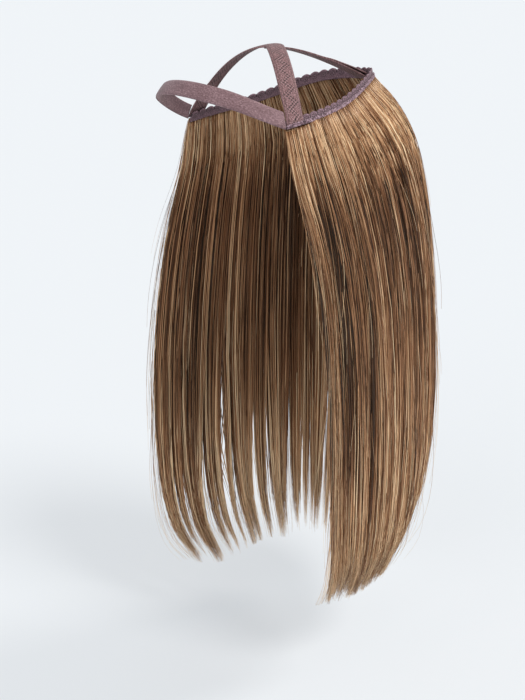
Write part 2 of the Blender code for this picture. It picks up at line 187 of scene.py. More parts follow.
# Hair pieces: name, first and last share of the way round, strands, how far locks gather towards
# their tips, how ragged their hem is, and the nodes that the piece stands for.
HAIR_PIECES = [
    # name, first, last, strands, gather, ragged, nodes
    ("hair_strands_left_front", 0.000, 0.125, 2900, 0.10, 0.020, ("hair_left",)),
    ("hair_strands_left_side", 0.125, 0.250, 2750, 0.10, 0.018, ("hair_left",)),
    ("hair_strands_back_left", 0.250, 0.500, 2700, 0.16, 0.018, ("hair_back_left",)),
    ("hair_strands_back_right", 0.500, 0.750, 2200, 0.50, 0.034, ("hair_back_right",)),
    ("hair_strands_right", 0.750, 1.000, 2300, 0.50, 0.034, ("hair_right",)),
]
STRAND_STEPS = [0.0, 0.018, 0.05, 0.10, 0.18, 0.29, 0.42, 0.56, 0.70, 0.83, 0.93, 1.0]
CLUMP_LEVELS = [
    # clumps round the fall, pull towards their middle, depth where the pull sets in, tone spread;
    # a pull of 0 takes the piece's own gather
    (900, 0.40, 0.04, 0.22),
    (190, 0.18, 0.25, 0.08),
    (30, 0.00, 0.50, 0.03),
]
CLUMP_SIZES = (0.35, 1.65)
CLUMP_WANDER = 0.2

# One strand. A layer is 0 at the hair's outer face and 1 at its inner face, a length is a share of
# the fall, a way is a share of the way round, lifts and widths are metres, tones run from 0 to 1.
STRAND_SIDES = 3
STEP_JITTER = 0.45
OUTER_STRANDS = 0.50
OUTER_AND_INNER_STRANDS = 0.76
SKIN_LAYER = 0.25
CORE_LAYER_FIRST = 0.2
CORE_LAYER_SPAN = 0.6
FULL_LENGTH = 1.006
LENGTH_SPREAD = 0.060
SHORT_STRANDS = 0.14
SHORT_BY = 0.13
MEDIUM_RAGGED = 0.6
SMALL_RAGGED = 0.008
LENGTH_LIMITS = (0.80, 1.012)
SMALL_RUFFLE = 0.0011
SMALL_RUFFLE_WAVES = 4.0
MEDIUM_RUFFLE = 0.0007
MEDIUM_RUFFLE_WAVES = 3.0
RUFFLE_PHASE = 2.0
LARGE_RIDGE = 0.0003
RIDGE_DEPTHS = (0.004, 0.08)
STRAY_STRANDS = 0.13
STRAY_WAY = 0.009
CALM_WAY = 0.0013
STRAY_LIFT = 0.14
WAVE_WAY = 0.0005
WAVE_COUNTS = (2.0, 6.0)
PHASE_SPAN = 6.28
CALM_ROOT_DEPTH = 0.3
EDGE_MARGIN = 0.0004
SEWN_DEPTH = 0.02
ROOT_RISE_SHARES = (0.8, 1.1)
HALF_WIDTHS = (0.00022, 0.00046)
TIP_FROM = 0.80
TIP_TAPER = 0.86
ROOT_WIDTH = 0.75
ROOT_DEPTH = 0.1
MIDDLE_TONE = 0.52
TONE_SPREAD = 0.19
INSIDE_SHADE = 0.22
INSIDE_LAYERS = (0.08, 0.25, 0.75, 0.92)
# Painted light: strands towards the right of the fall are painted paler where a rim light from the back
# right falls.
RIGHT_PAINTED_LIGHT = 0.06
RIGHT_PAINTED_LIGHT_WAYS = (0.45, 0.65)
STREAK_CHANCE = 0.16
STREAK_TONE = 0.26
FRONT_SHADE = 0.50
FRONT_SHADE_DEPTHS = (0.03, 0.20, 0.50, 0.85)
FRONT_SHADE_WIDTH = 0.055
TONE_LIMITS = (0.02, 1.05)
PARTING_OPENS_OVER = 0.3
PARTING_REACH = 0.022

# Stray hairs round the fall.
FLYAWAYS = 420
FLYAWAY_STEPS = 18
FLYAWAYS_LEFT_UNTIL = 0.26
FLYAWAYS_RIGHT_FROM = 0.93
FLYAWAY_EDGE = 0.03
FLYAWAYS_ROOTED = 0.45
FLYAWAY_LAST_START = 0.6
FLYAWAY_SPANS = (0.25, 0.9)
FLYAWAY_MARGIN = 0.001
FLYAWAY_FREE_FROM = 0.05
FLYAWAY_SIDEWAYS = 0.016
FLYAWAY_EDGE_REACH = 0.014
FLYAWAY_EDGE_POWER = 1.5
FLYAWAY_BEND = 0.0018
FLYAWAY_BENDS = (1.0, 3.0)
FLYAWAY_CALM_FROM = 0.6
FLYAWAY_CALM = 0.4
FLYAWAY_CLEARANCE = 0.0012
FLYAWAY_RISE = 0.0020
FLYAWAY_ARCH = 0.8
FLYAWAY_HALF_WIDTHS = (0.00014, 0.00028)
FLYAWAY_TAPER = 0.6
FLYAWAY_TONE = 0.62
FLYAWAY_TONE_SPREAD = 0.20
FLYAWAY_TONE_LIMITS = (0.05, 0.98)


def smooth_rows(position, rows, column, level_first=False, level_last=False):
    """Cubic Hermite curve through one column of a table, level at either end where asked for."""
    at = np.array([row[0] for row in rows])
    value = np.array([row[column] for row in rows])
    slope = np.gradient(value, at)
    if level_first:
        slope[0] = 0.0
    if level_last:
        slope[-1] = 0.0
    position = np.clip(position, at[0], at[-1])
    index = np.clip(np.searchsorted(at, position, side="right") - 1, 0, len(at) - 2)
    span = at[index + 1] - at[index]
    u = (position - at[index]) / span
    return (
        value[index] * (2 * u**3 - 3 * u**2 + 1)
        + slope[index] * span * (u**3 - 2 * u**2 + u)
        + value[index + 1] * (3 * u**2 - 2 * u**3)
        + slope[index + 1] * span * (u**3 - u**2)
    )


def unit(vectors):
    """Vectors divided by their length."""
    return vectors / np.maximum(np.linalg.norm(vectors, axis=-1, keepdims=True), 1e-12)


def smooth_step(low, high, value):
    """Cubic step from 0 at low to 1 at high."""
    share = np.clip((value - low) / (high - low), 0.0, 1.0)
    return share * share * (3 - 2 * share)


def smooth_hill(limits, value):
    """Cubic step up between the first two limits times a step down between the last two."""
    return smooth_step(limits[0], limits[1], value) * (1 - smooth_step(limits[2], limits[3], value))


def ring_plan(angle):
    """Egg seen from above: x = half width * sin * (1 + taper * cos), y = -reach * cos."""
    x = RING_HALF_WIDTH * np.sin(angle) * (1 + RING_TAPER * np.cos(angle))
    reach = np.where(np.cos(angle) > 0, RING_FRONT_REACH, RING_BACK_REACH)
    return x, -reach * np.cos(angle)


def ring_frame(angle, rows, temple_drop):
    """Middle line of a band at each angle, with its upward and outward directions.

    The height is the table's share of the temple drop, rolled by x times the worn roll. Up and out
    are the level directions turned inwards by the table's lean.
    """
    x, y = ring_plan(angle)
    folded = np.degrees(np.arccos(np.cos(angle)))
    at_front = rows[0][0] == 0.0
    levels = {"level_first": at_front, "level_last": not at_front}
    z = -temple_drop * smooth_rows(folded, rows, 1, **levels) + WORN_ROLL * x
    middle = np.stack([x, y, z], axis=-1)
    lean = np.radians(smooth_rows(folded, rows, 2, **levels))[..., None]
    ahead = np.stack(ring_plan(angle + PROBE), axis=-1) - np.stack(ring_plan(angle - PROBE), axis=-1)
    tangent = unit(ahead)
    outward = np.stack([tangent[..., 1], -tangent[..., 0], np.zeros_like(x)], axis=-1)
    level = np.array([0.0, 0.0, 1.0])
    up = np.cos(lean) * level - np.sin(lean) * outward
    out = np.cos(lean) * outward + np.sin(lean) * level
    return middle, up, out


def even_angles(first, last, count):
    """Angles between two limits that are an equal way apart along the ring, and the whole way."""
    fine = np.linspace(first, last, RING_SAMPLES)
    x, y = ring_plan(fine)
    way = np.concatenate([[0.0], np.cumsum(np.hypot(np.diff(x), np.diff(y)))])
    return np.interp(np.linspace(0.0, way[-1], count), way, fine), way[-1]


def fall_plan(depth, way_round):
    """Superellipse plan of the fall at one depth, each half measured along its own length."""
    front_share = RING_FRONT_REACH / HAIR_FRONT_REACH
    edge_share = -front_share * math.cos(JOINT_ANGLE)
    side_share = RING_HALF_WIDTH / HAIR_SIDE_REACH
    back_share = RING_BACK_REACH / HAIR_BACK_REACH
    ring_row = (0.0, side_share, back_share, front_share, 2.0, RING_TAPER, edge_share, edge_share)
    rows = [ring_row, *FALL_ROWS]
    value = [float(smooth_rows(depth, rows, column)) for column in range(1, 8)]
    side = value[0] * HAIR_SIDE_REACH
    back = value[1] * HAIR_BACK_REACH
    front = value[2] * HAIR_FRONT_REACH
    square, taper = value[3], value[4]
    halves = []
    for edge in (value[5], value[6]):
        y = edge * HAIR_FRONT_REACH
        cosine = -y / (front if y < 0 else back)
        start = math.acos(math.copysign(abs(cosine) ** (square / 2), cosine))
        angle = np.linspace(start, math.pi, PLAN_SAMPLES)
        cosine = np.cos(angle)
        x = side * np.abs(np.sin(angle)) ** (2 / square) * (1 + taper * cosine)
        y = -np.sign(cosine) * np.abs(cosine) ** (2 / square) * np.where(cosine > 0, front, back)
        way = np.concatenate([[0.0], np.cumsum(np.hypot(np.diff(x), np.diff(y)))])
        halves.append((x, y, way / way[-1]))
    (left_x, left_y, left_way), (right_x, right_y, right_way) = halves
    left = np.minimum(2 * way_round, 1.0)
    right = np.minimum(2 * (1 - way_round), 1.0)
    on_left = way_round <= 0.5
    x = np.where(on_left, np.interp(left, left_way, left_x), -np.interp(right, right_way, right_x))
    y = np.where(on_left, np.interp(left, left_way, left_y), np.interp(right, right_way, right_y))
    return x, y


def fall_grid():
    """Grid of fall points and of level outward directions over depth and way round."""
    depths = np.linspace(0.0, 1.0, FALL_GRID_DEPTHS)
    ways = np.linspace(0.0, 1.0, FALL_GRID_WAYS)
    angles, _ = even_angles(JOINT_ANGLE, 2 * math.pi - JOINT_ANGLE, TRACK_SAMPLES)
    angle = np.interp(ways, np.linspace(0.0, 1.0, TRACK_SAMPLES), angles)
    middle, up, out = ring_frame(angle, LACE_ROWS, LACE_TEMPLE_DROP)
    top = middle - up * (LACE_HEIGHT / 2 - HAIR_TRACK_OVERLAP) + out * LACE_THICKNESS
    hem = -HAIR_DROP * smooth_rows(ways, HEM_ROWS, 1, level_first=True, level_last=True)
    plan_x, plan_y = fall_plan(0.0, ways)
    points = []
    for depth in depths:
        x, y = fall_plan(depth, ways)
        blend = smooth_step(0.0, CREASE_DEPTH, depth)
        x = x + (top[:, 0] - plan_x) * (1 - blend)
        y = y + (top[:, 1] - plan_y) * (1 - blend)
        points.append(np.stack([x, y, top[:, 2] + (hem - top[:, 2]) * depth], axis=-1))
    points = np.array(points)
    tangent = unit(np.gradient(points, axis=1)[..., :2])
    outward = np.stack([tangent[..., 1], -tangent[..., 0], np.zeros(tangent.shape[:2])], axis=-1)
    return points, outward


FALL_POINTS, FALL_OUTWARD = fall_grid()


def on_fall(way, depth):
    """Fall point and outward direction by bilinear interpolation; past the hem it runs straight on."""
    rows, columns = FALL_POINTS.shape[:2]
    over = np.maximum(depth - 1.0, 0.0)[..., None]
    row = np.clip(depth, 0.0, 1.0) * (rows - 1)
    column = np.clip(way, 0.0, 1.0) * (columns - 1)
    row_low = np.minimum(row.astype(int), rows - 2)
    column_low = np.minimum(column.astype(int), columns - 2)
    u = (row - row_low)[..., None]
    v = (column - column_low)[..., None]
    found = []
    for grid in (FALL_POINTS, FALL_OUTWARD):
        upper = grid[row_low, column_low] * (1 - v) + grid[row_low, column_low + 1] * v
        lower = grid[row_low + 1, column_low] * (1 - v) + grid[row_low + 1, column_low + 1] * v
        found.append(upper * (1 - u) + lower * u)
    point, outward = found
    point[..., 2] -= over[..., 0] * HAIR_DROP
    return point, unit(outward)


def mesh_from_grid_faces(name, points, quads, triangles, uv):
    """Mesh from whole arrays: points, four- and three-cornered faces, and one UV per point."""
    mesh = bpy.data.meshes.new(name)
    mesh.vertices.add(len(points))
    mesh.vertices.foreach_set("co", np.ascontiguousarray(points, dtype=np.float32).ravel())
    corners = np.concatenate([quads.ravel(), triangles.ravel()]).astype(np.int32)
    sizes = np.concatenate([np.full(len(quads), 4), np.full(len(triangles), 3)])
    starts = np.concatenate([[0], np.cumsum(sizes)[:-1]]).astype(np.int32)
    mesh.loops.add(len(corners))
    mesh.loops.foreach_set("vertex_index", corners)
    mesh.polygons.add(len(sizes))
    mesh.polygons.foreach_set("loop_start", starts)
    mesh.polygons.foreach_set("use_smooth", np.ones(len(sizes), dtype=bool))
    layer = mesh.uv_layers.new(name="UVMap")
    layer.data.foreach_set("uv", np.ascontiguousarray(uv[corners], dtype=np.float32).ravel())
    mesh.update(calc_edges=True)
    mesh.validate()
    piece = bpy.data.objects.new(name, mesh)
    bpy.context.scene.collection.objects.link(piece)
    return piece


def carry_round(name, paths, reference, half_widths, sides, turn, uv_across):
    """Closed rods along many paths: a ring of corners at each step, side * cos + lift * sin.

    paths is strands x steps x 3, reference gives a direction that the rods face, half_widths is
    strands x steps as uv_across is, and turn rotates each rod's section.
    """
    strands, steps = paths.shape[:2]
    tangent = unit(np.gradient(paths, axis=1))
    side = unit(np.cross(tangent, reference))
    lift = np.cross(tangent, side)
    angle = turn[:, None] + 2 * math.pi * np.arange(sides)[None] / sides
    cosine = np.cos(angle)[:, None, :, None]
    sine = np.sin(angle)[:, None, :, None]
    ring = side[:, :, None] * cosine + lift[:, :, None] * sine
    points = paths[:, :, None] + half_widths[:, :, None, None] * ring
    base = (np.arange(strands) * steps * sides)[:, None, None]
    step = np.arange(steps - 1)[None, :, None]
    after = step + 1
    corner = np.arange(sides)[None, None, :]
    beside = (corner + 1) % sides
    quads = np.stack(
        [
            base + step * sides + corner,
            base + step * sides + beside,
            base + after * sides + beside,
            base + after * sides + corner,
        ],
        axis=-1,
    ).reshape(-1, 4)
    fan = np.arange(1, sides - 1)
    first = base[:, 0]
    last = first + (steps - 1) * sides
    start_caps = np.stack([first + 0 * fan, first + fan + 1, first + fan], axis=-1).reshape(-1, 3)
    end_caps = np.stack([last + 0 * fan, last + fan, last + fan + 1], axis=-1).reshape(-1, 3)
    triangles = np.concatenate([start_caps, end_caps])
    along = np.broadcast_to(np.linspace(0.0, 1.0, steps)[None, :, None], (strands, steps, sides))
    across = np.broadcast_to(uv_across[:, :, None], (strands, steps, sides))
    uv = np.stack([across, along], axis=-1).reshape(-1, 2)
    return mesh_from_grid_faces(name, points.reshape(-1, 3), quads, triangles, uv)


def sheet_between(name, lower, upper, uv):
    """Closed wall between two matching grids of points, joined round their edges."""
    rows, columns = lower.shape[:2]
    index = np.arange(rows * columns).reshape(rows, columns)
    face = np.stack([index[:-1, :-1], index[:-1, 1:], index[1:, 1:], index[1:, :-1]], axis=-1)
    face = face.reshape(-1, 4)
    shift = rows * columns
    rim = np.concatenate([index[0, :], index[1:, -1], index[-1, -2::-1], index[-2:0:-1, 0]])
    after = np.roll(rim, -1)
    walls = np.stack([rim, after, after + shift, rim + shift], axis=-1)
    quads = np.concatenate([face[:, ::-1], face + shift, walls])
    points = np.concatenate([lower.reshape(-1, 3), upper.reshape(-1, 3)])
    both = np.concatenate([uv.reshape(-1, 2), uv.reshape(-1, 2)])
    a, b, c, d = (points[quads[:, corner]] for corner in range(4))
    volume = np.sum(np.cross(b - a, c - a) * a) + np.sum(np.cross(c - a, d - a) * a)
    if volume < 0:
        quads = quads[:, ::-1]
    return mesh_from_grid_faces(name, points, quads, np.zeros((0, 3), dtype=int), both)


def new_material(name, roughness):
    """Principled material and a helper that adds nodes with their input values."""
    material = bpy.data.materials.new(name)
    material.use_nodes = True
    tree = material.node_tree
    shader = tree.nodes["Principled BSDF"]
    shader.inputs["Roughness"].default_value = roughness

    def add(kind, inputs=None, **settings):
        node = tree.nodes.new(kind)
        for key, value in settings.items():
            setattr(node, key, value)
        for key, value in (inputs or {}).items():
            socket = node.inputs[key]
            if isinstance(value, bpy.types.NodeSocket):
                tree.links.new(value, socket)
            else:
                socket.default_value = value
        return node

    return material, tree, shader, add


def maths(add, operation, first, second=0.0, third=0.0):
    """One number worked out by a Math node."""
    return add("ShaderNodeMath", {0: first, 1: second, 2: third}, operation=operation).outputs[0]


def ramp(add, value, stops):
    """Colour ramp through (place, colour) stops."""
    node = add("ShaderNodeValToRGB", {"Fac": value})
    elements = node.color_ramp.elements
    while len(elements) < len(stops):
        elements.new(0.5)
    for element, (place, colour) in zip(elements, stops):
        element.position = place
        element.color = (*colour, 1.0)
    return node.outputs["Color"]


def linear(red, green, blue):
    """Linear colour of an sRGB colour given in 0 to 255."""
    return tuple(
        channel / 12.92 if channel <= 0.04045 else ((channel + 0.055) / 1.055) ** 2.4
        for channel in (red / 255, green / 255, blue / 255)
    )


def own_map(add):
    """The piece's own UV map: metres along and across a band, tone and share of its length on a hair."""
    return add("ShaderNodeUVMap", uv_map="UVMap").outputs["UV"]


def stretched_noise(add, place, scale, detail, roughness=0.5):
    """Noise whose grains have their own size along and across, given as grains to a unit."""
    stretched = add("ShaderNodeMapping", {"Vector": place, "Scale": scale}).outputs[0]
    settings = {"Vector": stretched, "Scale": 1.0, "Detail": detail, "Roughness": roughness}
    return add("ShaderNodeTexNoise", settings).outputs["Fac"]


def mixed_with(tree, add, ground, colour, share):
    """Ground colour mixed with one plain colour by a share."""
    mix = add("ShaderNodeMix", data_type="RGBA", blend_type="MIX")
    tree.links.new(share, mix.inputs["Factor"])
    tree.links.new(ground, mix.inputs["A"])
    mix.inputs["B"].default_value = (*colour, 1.0)
    return mix.outputs["Result"]


def raise_grain(tree, shader, add, height, strength, distance):
    """Bump from a height, at the shader's normal."""
    bump = add("ShaderNodeBump", {"Height": height, "Strength": strength, "Distance": distance})
    tree.links.new(bump.outputs["Normal"], shader.inputs["Normal"])


def hair_finish():
    """Glossy fibre: tone by strand, a painted highlight near the crown, painted shade below it, and tips
    paler partly by fading and partly by painted floor light.
    """
    drift_grains = (900.0, 4.0, 1.0)
    drift_spread = 0.36
    painted_light_and_fade_level = 0.5
    material, tree, shader, add = new_material("glossy_hair", 0.27)
    place = own_map(add)
    split = add("ShaderNodeSeparateXYZ", {"Vector": place})
    tone, along = split.outputs["X"], split.outputs["Y"]
    drift = stretched_noise(add, place, drift_grains, 1.0)
    moved = maths(add, "MULTIPLY_ADD", drift, drift_spread, -drift_spread / 2)
    # Painted light along the length: a painted highlight below the roots, painted shade down the middle of
    # the fall, and tips paler partly from fading and partly from painted floor light.
    painted_light_and_fade = ramp(
        add,
        along,
        [
            (0.00, (0.34, 0.34, 0.34)),
            (0.05, (0.57, 0.57, 0.57)),
            (0.22, (0.63, 0.63, 0.63)),
            (0.38, (0.25, 0.25, 0.25)),
            (0.66, (0.42, 0.42, 0.42)),
            (1.00, (0.92, 0.92, 0.92)),
        ],
    )
    shifted_light_and_fade = maths(add, "SUBTRACT", painted_light_and_fade, painted_light_and_fade_level)
    value = maths(add, "ADD", maths(add, "ADD", tone, moved), shifted_light_and_fade)
    colour = ramp(
        add,
        value,
        [
            (0.00, linear(34, 19, 11)),
            (0.25, linear(80, 48, 29)),
            (0.50, linear(142, 97, 66)),
            (0.75, linear(208, 160, 118)),
            (1.00, linear(255, 224, 182)),
        ],
    )
    tree.links.new(colour, shader.inputs["Base Color"])
    shader.inputs["Specular IOR Level"].default_value = 0.55
    shader.inputs["Specular Tint"].default_value = (1.0, 0.80, 0.60, 1.0)
    return material


def elastic_finish():
    """Close-knit elastic: fine ribs along the band, a speckle of yarn and soft sheen."""
    yarn_grains = (620.0, 1100.0, 1.0)
    patch_grains = (60.0, 160.0, 1.0)
    patch_share = 0.20
    yarn_share = 0.80
    material, tree, shader, add = new_material("smooth_elastic", 0.78)
    place = own_map(add)
    grain = stretched_noise(add, place, yarn_grains, 3.0, 0.7)
    patch = stretched_noise(add, place, patch_grains, 2.0)
    value = maths(add, "MULTIPLY_ADD", patch, patch_share, maths(add, "MULTIPLY", grain, yarn_share))
    tones = [(0.34, linear(90, 64, 67)), (0.50, linear(126, 96, 100)), (0.66, linear(170, 140, 144))]
    tree.links.new(ramp(add, value, tones), shader.inputs["Base Color"])
    raise_grain(tree, shader, add, grain, 0.5, 0.0003)
    shader.inputs["Sheen Weight"].default_value = 0.15
    shader.inputs["Sheen Roughness"].default_value = 0.5
    return material


def net_finish():
    """Net elastic: plain edges, and between them small holes in diamonds that step along a zigzag.

    A hole lies round the middle of each diamond and pale specks of painted stitch highlight in its corners,
    by the square of the distance in shares of the pitch.
    """
    pitch = 0.0031
    hole_within = 0.085
    stitch_highlight_past = 0.36
    zigzag_height = 0.0058
    zigzag_half_width = 0.0026
    net_half_width = 0.0050
    seam_place = 0.0054
    seam_half_width = 0.00022
    seam_depth = 0.55
    yarn_grains = (1100.0, 1100.0, 1.0)
    material, tree, shader, add = new_material("net_elastic", 0.8)
    place = own_map(add)
    split = add("ShaderNodeSeparateXYZ", {"Vector": place})
    along, across = split.outputs["X"], split.outputs["Y"]
    first = maths(add, "DIVIDE", maths(add, "ADD", along, across), pitch)
    second = maths(add, "DIVIDE", maths(add, "SUBTRACT", along, across), pitch)
    first = maths(add, "SUBTRACT", maths(add, "FRACT", first), 0.5)
    second = maths(add, "SUBTRACT", maths(add, "FRACT", second), 0.5)
    squares = maths(add, "MULTIPLY_ADD", first, first, maths(add, "MULTIPLY", second, second))
    zigzag = maths(add, "SUBTRACT", maths(add, "PINGPONG", along, zigzag_height), zigzag_height / 2)
    apart = maths(add, "ABSOLUTE", maths(add, "SUBTRACT", across, zigzag))
    from_middle = maths(add, "ABSOLUTE", across)
    netted = maths(add, "LESS_THAN", apart, zigzag_half_width)
    netted = maths(add, "MULTIPLY", netted, maths(add, "LESS_THAN", from_middle, net_half_width))
    hole = maths(add, "MULTIPLY", maths(add, "LESS_THAN", squares, hole_within), netted)
    stitch_highlight = maths(add, "MULTIPLY", maths(add, "GREATER_THAN", squares, stitch_highlight_past), netted)
    seam = maths(add, "COMPARE", from_middle, seam_place, seam_half_width)
    dark = maths(add, "ADD", hole, maths(add, "MULTIPLY", seam, seam_depth))
    grain = stretched_noise(add, place, yarn_grains, 3.0, 0.7)
    tones = [(0.34, linear(72, 45, 46)), (0.50, linear(118, 83, 84)), (0.68, linear(184, 148, 150))]
    ground = ramp(add, grain, tones)
    # Pale specks: painted highlights on the stitches.
    ground = mixed_with(tree, add, ground, linear(206, 176, 178), maths(add, "MULTIPLY", stitch_highlight, 0.6))
    ground = mixed_with(tree, add, ground, linear(34, 20, 22), maths(add, "MULTIPLY", dark, 0.95))
    tree.links.new(ground, shader.inputs["Base Color"])
    height = maths(add, "SUBTRACT", maths(add, "MULTIPLY", grain, 0.4), dark)
    raise_grain(tree, shader, add, height, 0.8, 0.0005)
    shader.inputs["Sheen Weight"].default_value = 0.12
    return material


def lace_finish():
    """Openwork lace: each petal above the track is a broken ring of small dark openings round an eye."""
    petal_height = LACE_HEIGHT * 0.72
    ring_radius = 0.0020
    ring_half_width = 0.00045
    ring_openings = 9.0
    opening_past = -0.1
    eye_radius = 0.0006
    gap_past = SCALLOP_PITCH * 0.44
    yarn_grains = (1300.0, 1300.0, 1.0)
    material, tree, shader, add = new_material("lace_elastic", 0.8)
    place = own_map(add)
    split = add("ShaderNodeSeparateXYZ", {"Vector": place})
    along, across = split.outputs["X"], split.outputs["Y"]
    petal = maths(add, "SUBTRACT", maths(add, "FRACT", maths(add, "DIVIDE", along, SCALLOP_PITCH)), 0.5)
    petal = maths(add, "MULTIPLY", petal, SCALLOP_PITCH)
    rise = maths(add, "SUBTRACT", across, petal_height)
    reach = maths(add, "SQRT", maths(add, "MULTIPLY_ADD", petal, petal, maths(add, "MULTIPLY", rise, rise)))
    from_ring = maths(add, "ABSOLUTE", maths(add, "SUBTRACT", reach, ring_radius))
    ring = maths(add, "LESS_THAN", from_ring, ring_half_width)
    bars = maths(add, "SINE", maths(add, "MULTIPLY", maths(add, "ARCTAN2", rise, petal), ring_openings))
    opening = maths(add, "MULTIPLY", ring, maths(add, "GREATER_THAN", bars, opening_past))
    eye = maths(add, "LESS_THAN", reach, eye_radius)
    between = maths(add, "GREATER_THAN", maths(add, "ABSOLUTE", petal), gap_past)
    between = maths(add, "MULTIPLY", between, maths(add, "GREATER_THAN", across, petal_height))
    opening = maths(add, "MAXIMUM", maths(add, "MAXIMUM", opening, eye), between)
    grain = stretched_noise(add, place, yarn_grains, 3.0, 0.7)
    tones = [(0.34, linear(62, 42, 48)), (0.50, linear(108, 79, 89)), (0.68, linear(186, 156, 168))]
    ground = ramp(add, grain, tones)
    ground = mixed_with(tree, add, ground, linear(34, 20, 24), maths(add, "MULTIPLY", opening, 0.9))
    tree.links.new(ground, shader.inputs["Base Color"])
    height = maths(add, "SUBTRACT", maths(add, "MULTIPLY", grain, 0.5), opening)
    raise_grain(tree, shader, add, height, 0.9, 0.0005)
    shader.inputs["Sheen Weight"].default_value = 0.12
    return material


def yarn_finish(name, dark, mid, pale):
    """Twisted yarn: three tones spread by fine noise in object space."""
    material, tree, shader, add = new_material(name, 0.75)
    place = add("ShaderNodeTexCoord").outputs["Object"]
    grain = add("ShaderNodeTexNoise", {"Vector": place, "Scale": 650.0, "Detail": 2.0}).outputs["Fac"]
    colour = ramp(add, grain, [(0.32, dark), (0.5, mid), (0.68, pale)])
    tree.links.new(colour, shader.inputs["Base Color"])
    shader.inputs["Sheen Weight"].default_value = 0.2
    return material


def part_away(way, depth):
    """Pushes the way round away from each parting, most beside it and less with distance."""
    for place, opens_at, width in PARTINGS:
        apart = way - place
        opened = width / 2 * smooth_step(opens_at, opens_at + PARTING_OPENS_OVER, depth)
        way = way + np.sign(apart) * opened * np.exp(-((apart / PARTING_REACH) ** 2))
    return way


def clump_tables():
    """Bounds of the clumps of each level as shares of the way round, and their random numbers."""
    rng = np.random.default_rng(RANDOM_SEED)
    tables = []
    for count, _, _, _ in CLUMP_LEVELS:
        bounds = np.concatenate([[0.0], np.cumsum(rng.uniform(*CLUMP_SIZES, count))])
        tables.append((bounds / bounds[-1], rng.uniform(-1.0, 1.0, (count, 4))))
    return tables


def front_shade(way, depth):
    """How far the fall's near front edge lies in shade: most below the temple, none at the tips."""
    return smooth_hill(FRONT_SHADE_DEPTHS, depth) * np.exp(-((way / FRONT_SHADE_WIDTH) ** 2))


def strand_layers(rng, count):
    """Where each strand lies in the hair: near its outer face, near its inner face or between."""
    pick = rng.random(count)
    outer = SKIN_LAYER * rng.random(count)
    inner = 1 - SKIN_LAYER + SKIN_LAYER * rng.random(count)
    core = CORE_LAYER_FIRST + CORE_LAYER_SPAN * rng.random(count)
    layer = np.where(pick < OUTER_STRANDS, outer, inner)
    return np.where(pick > OUTER_AND_INNER_STRANDS, core, layer)


def strand_clumps(tables, root):
    """Middles and random numbers of the clumps that the roots lie in, level by level."""
    found = []
    for bounds, numbers in tables:
        index = np.clip(np.searchsorted(bounds, root, side="right") - 1, 0, len(numbers) - 1)
        number = numbers[index]
        low, high = bounds[index], bounds[index + 1]
        middle = (low + high) / 2 + CLUMP_WANDER * number[:, 0] * (high - low)
        found.append((middle[:, None], number))
    return found


def ruffle(number, height, waves, depth):
    """Lift of a clump off the fall: height * its number * cos(waves * depth + its phase)."""
    return height * number[:, 3:] * np.cos(depth * waves + RUFFLE_PHASE * number[:, :1])


